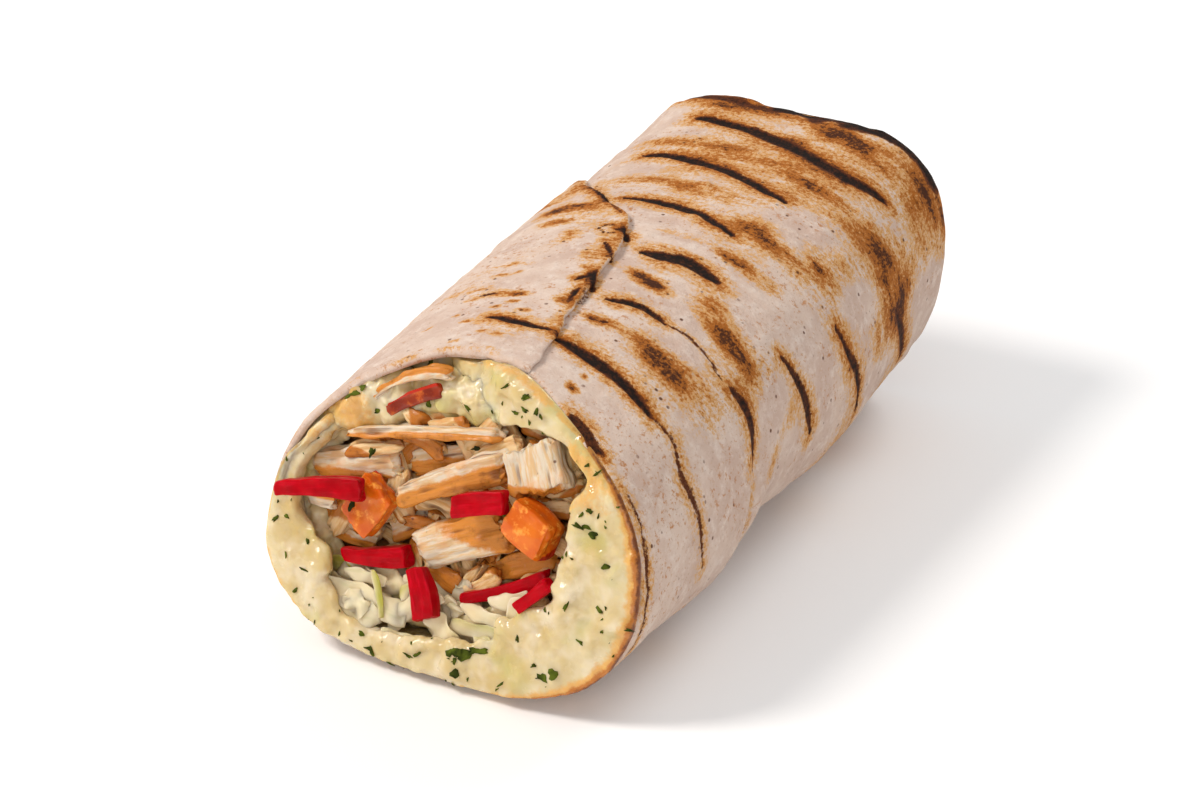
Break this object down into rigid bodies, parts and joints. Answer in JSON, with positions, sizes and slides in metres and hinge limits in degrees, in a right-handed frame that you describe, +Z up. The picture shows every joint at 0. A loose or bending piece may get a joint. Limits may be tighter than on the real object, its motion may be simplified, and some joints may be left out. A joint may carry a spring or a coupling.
{
  "type": "chicken shawarma wrap",
  "caption": "Grilled flatbread roll, closed at one end, with chicken, pickled turnip, tomato, cabbage and melted cheese showing at its open end.",
  "frame": {"origin": "middle of the footprint, on the surface the roll lies on", "axes": "+Y runs along the roll from its open end to its closed end, +X is to the right seen from the open end, +Z is up"},
  "size_m": [0.0778, 0.1507, 0.0594],
  "materials": {
    "flatbread": "dry grilled flatbread, floury with dark grill marks",
    "melted_cheese": "soft melted cheese with dried herbs",
    "packed_chicken": "dark roasted chicken packed behind the showing pieces",
    "chicken": "roast chicken, pale on its cuts and brown on its outside",
    "pickled_turnip": "wet pickled turnip",
    "tomato": "wet cut tomato",
    "cabbage": "raw white cabbage"
  },
  "bodies": {
    "root": {"flatbread": "flatbread", "melted_cheese": "melted_cheese", "filling_core": "packed_chicken", "chicken_roof_slice": "chicken", "chicken_thin_slice": "chicken", "chicken_torn_chunk": "chicken", "chicken_wedge": "chicken", "chicken_long_slice": "chicken", "chicken_block": "chicken", "chicken_frayed_bit": "chicken", "chicken_middle_block": "chicken", "chicken_small_slice": "chicken", "chicken_left_flake": "chicken", "chicken_nub": "chicken", "turnip_left_stick": "pickled_turnip", "turnip_middle_stick": "pickled_turnip", "turnip_low_left_stick": "pickled_turnip", "turnip_upright_stick": "pickled_turnip", "turnip_low_right_stick": "pickled_turnip", "turnip_short_stick": "pickled_turnip", "tomato_roof_slice": "tomato", "tomato_left_chunk": "tomato", "tomato_right_cube": "tomato", "tomato_back_chunk": "tomato", "cabbage_heap": "cabbage"}
  },
  "joints": []
}
